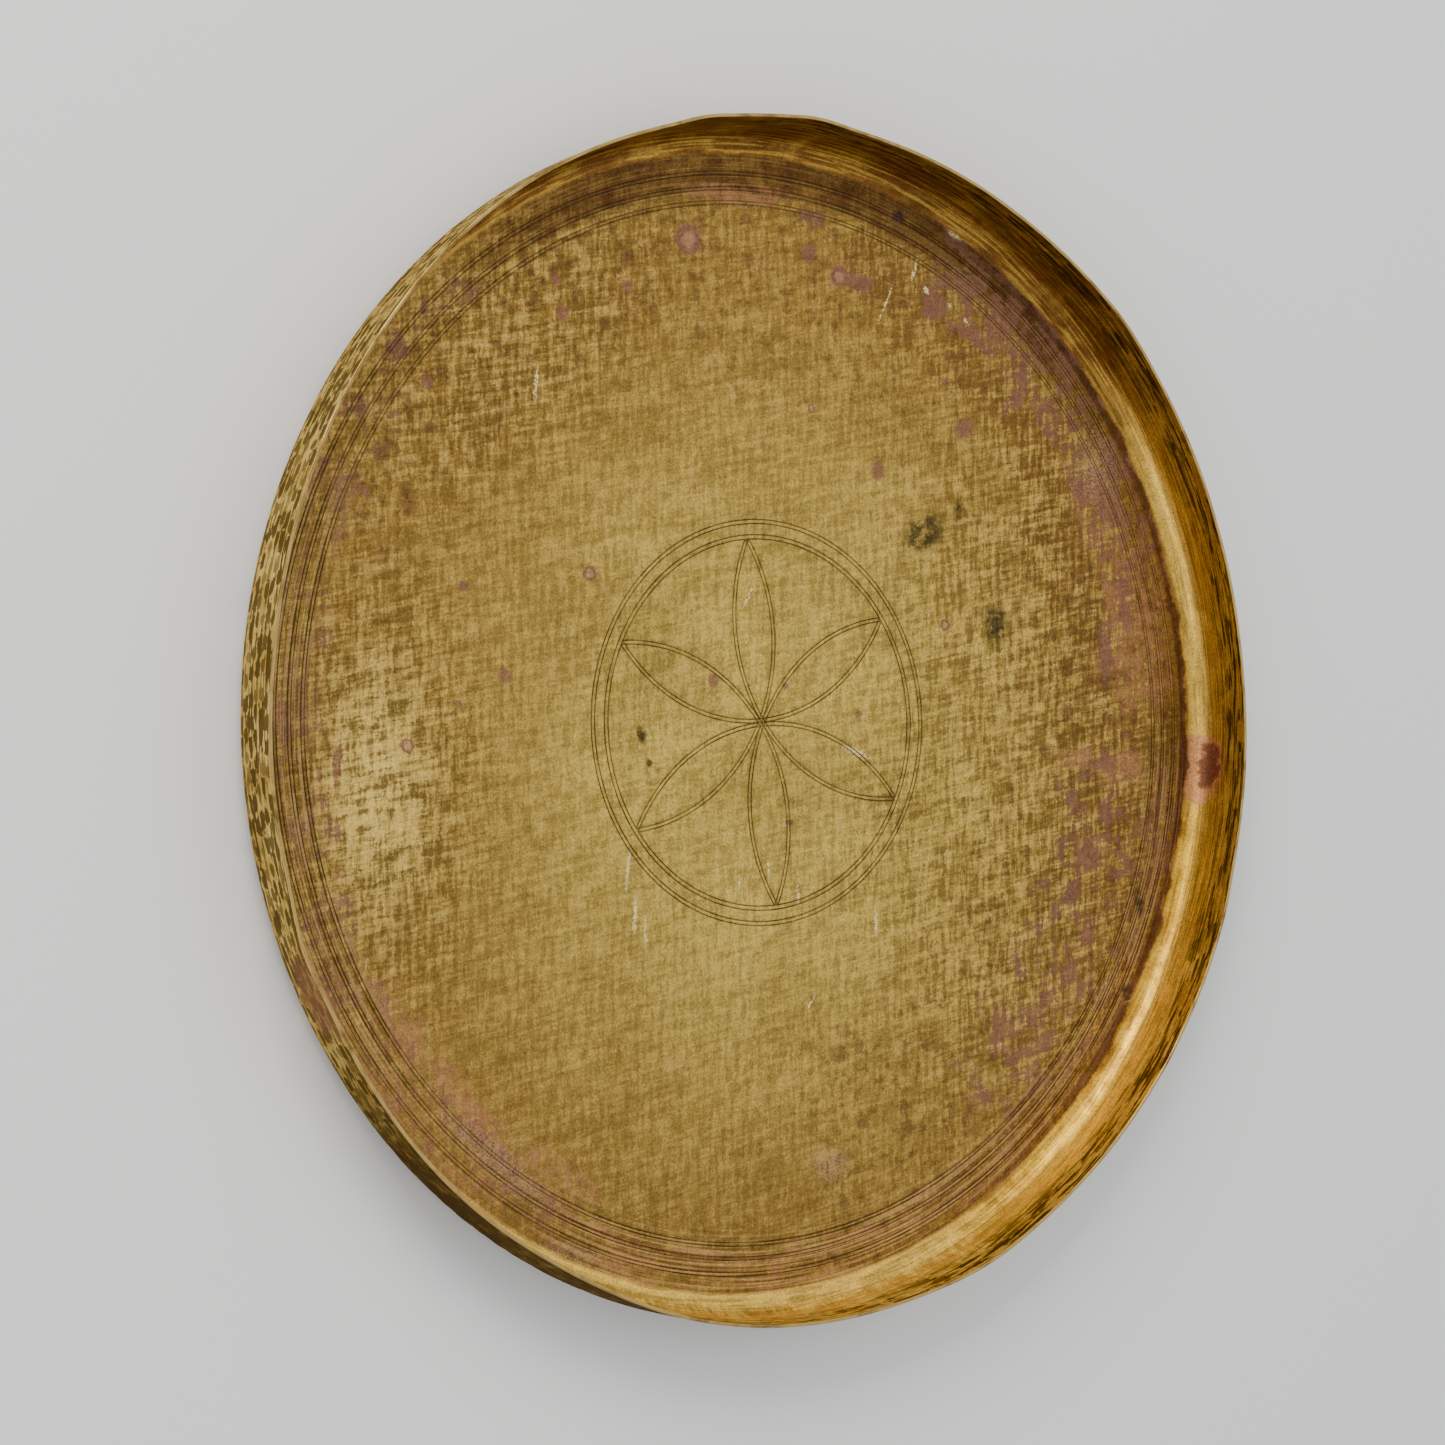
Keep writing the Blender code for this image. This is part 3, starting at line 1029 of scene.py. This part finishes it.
colour = over(tree, ramp(tree, lumps, 0.35, 0.7), PALE_BRASS, WALL_BRASS)
colour = over(tree, laid_up(tree, "handled"), colour, UNDER_BRASS, 0.55)
# Dark brown on one stretch of the outer wall: patina and painted shade.
outer_dark_and_shade = times(tree, laid_up(tree, "outer_dark_and_shade"), ramp(tree, lumps, 0.2, 0.6, 0.6, 1.0))
colour = over(tree, outer_dark_and_shade, colour, OUTER_BROWN_SHADE)
colour = over(tree, dark_blow, colour, BLOW_DARK, 0.88)
bloom_height = calc(tree, "MULTIPLY_ADD", lumps, 10.0, height_mm)
bloom = times(tree, laid_up(tree, "outer_bloom"), ramp(tree, bloom_height, 17.0, 21.0))
colour = over(tree, bloom, colour, PURPLE, 0.7)

under = over(tree, ramp(tree, broad, 0.35, 0.65), UNDER_BRASS, UNDER_DARK)
under = over(tree, ramp(tree, under_blow["Hollow"], 0.0, 0.5), under, UNDER_DARK, 0.45)
scuffs = [
    group(tree, strokes, {"Vector": level, "Turn": turned(turn), "Size": size})[0]
    for turn, size in ((35, (30, 0.8, 1)), (-50, (24, 0.7, 1)))
]
scuffed = calc(tree, "MAXIMUM", *scuffs)
under = over(tree, ramp(tree, scuffed, 0.62, 0.95), under, WALL_BRASS, 0.5)
under = over(tree, ramp(tree, lumps, 0.62, 0.7), under, PURPLE, 0.6)
wear = times(tree, ramp(tree, radius, 222.0, 234.0), ramp(tree, radius, 246.0, 239.0))
under = over(tree, times(tree, wear, ramp(tree, small, 0.3, 0.7)), under, WALL_BRASS)
colour = over(tree, on_wall, under, colour)
fade = calc(tree, "MULTIPLY_ADD", speckle, 0.3, 0.85)
shaded = scaled(tree, colour, fade)
film = times(tree, calc(tree, "MAXIMUM", dark_blow, outer_dark_and_shade), on_wall)
metal = calc(tree, "MULTIPLY_ADD", film, -0.10, 0.94)
rough = calc(tree, "MULTIPLY_ADD", film, 0.2, calc(tree, "MULTIPLY_ADD", small, 0.14, 0.34))
relief = calc(tree, "MULTIPLY_ADD", speckle, 0.4, times(tree, small, 0.6))
finish(tree, shader, shaded, metal, rough, relief, OUTSIDE_GRAIN)
shader.inputs["Specular Tint"].default_value = OUTSIDE_SHEEN


# ---------------------------------------------------------------------------
# The hammer work. The smith closed the wall with courses of oval blows struck from
# outside, which show inside as soft swellings, and flattened the floor on a stake,
# which left it slightly wavy. This tree strikes the blows into the raised sheet.

UNDER_EDGE = 0.001  # the blows under the floor end at this height
WALL_START = (0.002, 0.006)  # the wall's blows come in between these heights
LIP_CLEAR = (0.0005, 0.0015)  # and die away this far below the lip
WAVE_LEVEL = 0.42  # the wave's own middle, so that the floor keeps its height

hand_work, given, made = new_tree(
    "hand_work", "GeometryNodeTree",
    [
        ("Sheet", "NodeSocketGeometry", None),
        *BLOW_SIZES,
        ("Blow depth", "NodeSocketFloat", 0.00030),
        ("Swelling", "NodeSocketFloat", 0.45),
        ("Under depth", "NodeSocketFloat", 0.00018),
        ("Waviness", "NodeSocketFloat", 0.00035),
        ("Wave length", "NodeSocketFloat", 0.055),
    ],
    [("Tray", "NodeSocketGeometry")],
)
hand_work.is_modifier = True
tree = hand_work


def stored(name, kind="FLOAT"):
    """A value kept on the sheet under this name."""
    return add(hand_work, "GeometryNodeInputNamedAttribute", {"Name": name}, data_type=kind).outputs[0]


position = add(tree, "GeometryNodeInputPosition").outputs[0]
face_out = add(tree, "GeometryNodeInputNormal").outputs[0]
side = stored("side")
run = stored("run")
height = parts(tree, position)[2]
hollow = lay_blows(tree, position, run, given)[0]
under_sizes = {"Wall radius": given["Wall radius"], **UNDER_BLOWS}
under_hollow = lay_blows(tree, position, run, under_sizes)[0]
below_lip = ramp(tree, height, rim_height - LIP_CLEAR[0], rim_height - LIP_CLEAR[1])
on_wall = times(tree, ramp(tree, height, *WALL_START), below_lip)
outside_share = ramp(tree, side, 1.0, -1.0)
struck = times(tree, times(tree, hollow, on_wall), given["Blow depth"])
struck = times(tree, struck, ramp(tree, side, 1.0, -1.0, given["Swelling"], 1.0))
below = times(tree, ramp(tree, height, UNDER_EDGE, 0.0), outside_share)
struck_below = times(tree, times(tree, under_hollow, below), given["Under depth"])
wave_lengths = add(tree, "ShaderNodeCombineXYZ", {axis: given["Wave length"] for axis in range(3)})
wave_place = vector_calc(tree, "DIVIDE", position, wave_lengths.outputs[0])
wave = add(tree, "ShaderNodeTexNoise", {"Vector": wave_place, "Scale": 1.0, "Detail": 1.0}).outputs[0]
wavy = times(tree, calc(tree, "SUBTRACT", wave, WAVE_LEVEL), given["Waviness"])
moved = calc(tree, "ADD", calc(tree, "ADD", struck, struck_below), wavy)
moved = times(tree, moved, side)
offset = scaled(tree, face_out, moved)
shape = add(tree, "GeometryNodeSetPosition", {"Geometry": given["Sheet"], "Offset": offset}).outputs[0]
shape = add(tree, "GeometryNodeRealizeInstances", {0: shape}).outputs[0]
zone = stored("zone", "INT")
for number, brass in ((INSIDE, inside_brass), (LIP, lip_brass), (OUTSIDE, outside_brass)):
    chosen = add(tree, "FunctionNodeCompare", {2: zone, 3: number}, data_type="INT", operation="EQUAL")
    shape = add(
        tree, "GeometryNodeSetMaterial",
        {"Geometry": shape, "Selection": chosen.outputs[0], "Material": brass},
    ).outputs[0]
feed(tree, made["Tray"], shape)

worked = tray.modifiers.new("hand_work", "NODES")
worked.node_group = hand_work
sockets = {
    item.name: item.identifier
    for item in hand_work.interface.items_tree
    if item.in_out == "INPUT"
}
worked[sockets["Wall radius"]] = lip_radius
graph = bpy.context.evaluated_depsgraph_get()
finished = bpy.data.meshes.new_from_object(
    tray.evaluated_get(graph), preserve_all_data_layers=True, depsgraph=graph
)
tray.modifiers.remove(worked)
tray.data = finished
bpy.data.meshes.remove(mesh)
finished.name = "brass_tray"
bpy.context.view_layer.update()

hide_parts("tray_body")
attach(tray, "root")


# ---------------------------------------------------------------------------
# The studio: a plain pale floor under the tray, a pale room, and soft light from
# a window at the upper left and from overhead, with a weaker fill. Metres and watts.

FLOOR_SIZE = 8.0
FLOOR_DROP = 0.0004  # clears the waves in the tray's underside
FLOOR_PAINT = (0.88, 0.875, 0.86, 1)
FLOOR_ROUGH = 0.9
ROOM_COLOUR = (0.95, 0.97, 1.0, 1)
ROOM_STRENGTH = 0.70
DAYLIGHT = (1.0, 0.98, 0.94)
LAMPLIGHT = (1.0, 0.97, 0.93)

floor_mesh = bpy.data.meshes.new("studio_floor")
half = FLOOR_SIZE / 2
floor_mesh.from_pydata(
    [(x, y, -FLOOR_DROP) for x, y in ((-half, -half), (half, -half), (half, half), (-half, half))],
    [], [(0, 1, 2, 3)],
)
floor = bpy.data.objects.new("studio_floor", floor_mesh)
bpy.context.scene.collection.objects.link(floor)
floor_paint = bpy.data.materials.new("pale_floor")
floor_paint.use_nodes = True
paint_shader = floor_paint.node_tree.nodes["Principled BSDF"]
paint_shader.inputs["Base Color"].default_value = FLOOR_PAINT
paint_shader.inputs["Roughness"].default_value = FLOOR_ROUGH
floor_mesh.materials.append(floor_paint)

world = bpy.data.worlds.new("studio_room")
world.use_nodes = True
room = world.node_tree.nodes["Background"]
room.inputs["Color"].default_value = ROOM_COLOUR
room.inputs["Strength"].default_value = ROOM_STRENGTH
bpy.context.scene.world = world


def soft_light(name, place, size, power, warmth):
    """A square soft light, turned to the tray."""
    light = bpy.data.lights.new(name, "AREA")
    light.shape = "SQUARE"
    light.size = size
    light.energy = power
    light.color = warmth
    lamp = bpy.data.objects.new(name, light)
    lamp.location = place
    lamp.rotation_euler = (-Vector(place)).to_track_quat("-Z", "Y").to_euler()
    bpy.context.scene.collection.objects.link(lamp)


soft_light("window", (-1.0, 1.9, 1.4), 1.3, 52, DAYLIGHT)
soft_light("overhead", (1.5, 0.3, 2.2), 2.0, 9, LAMPLIGHT)
soft_light("fill", (-1.9, -1.1, 1.3), 1.6, 14, LAMPLIGHT)
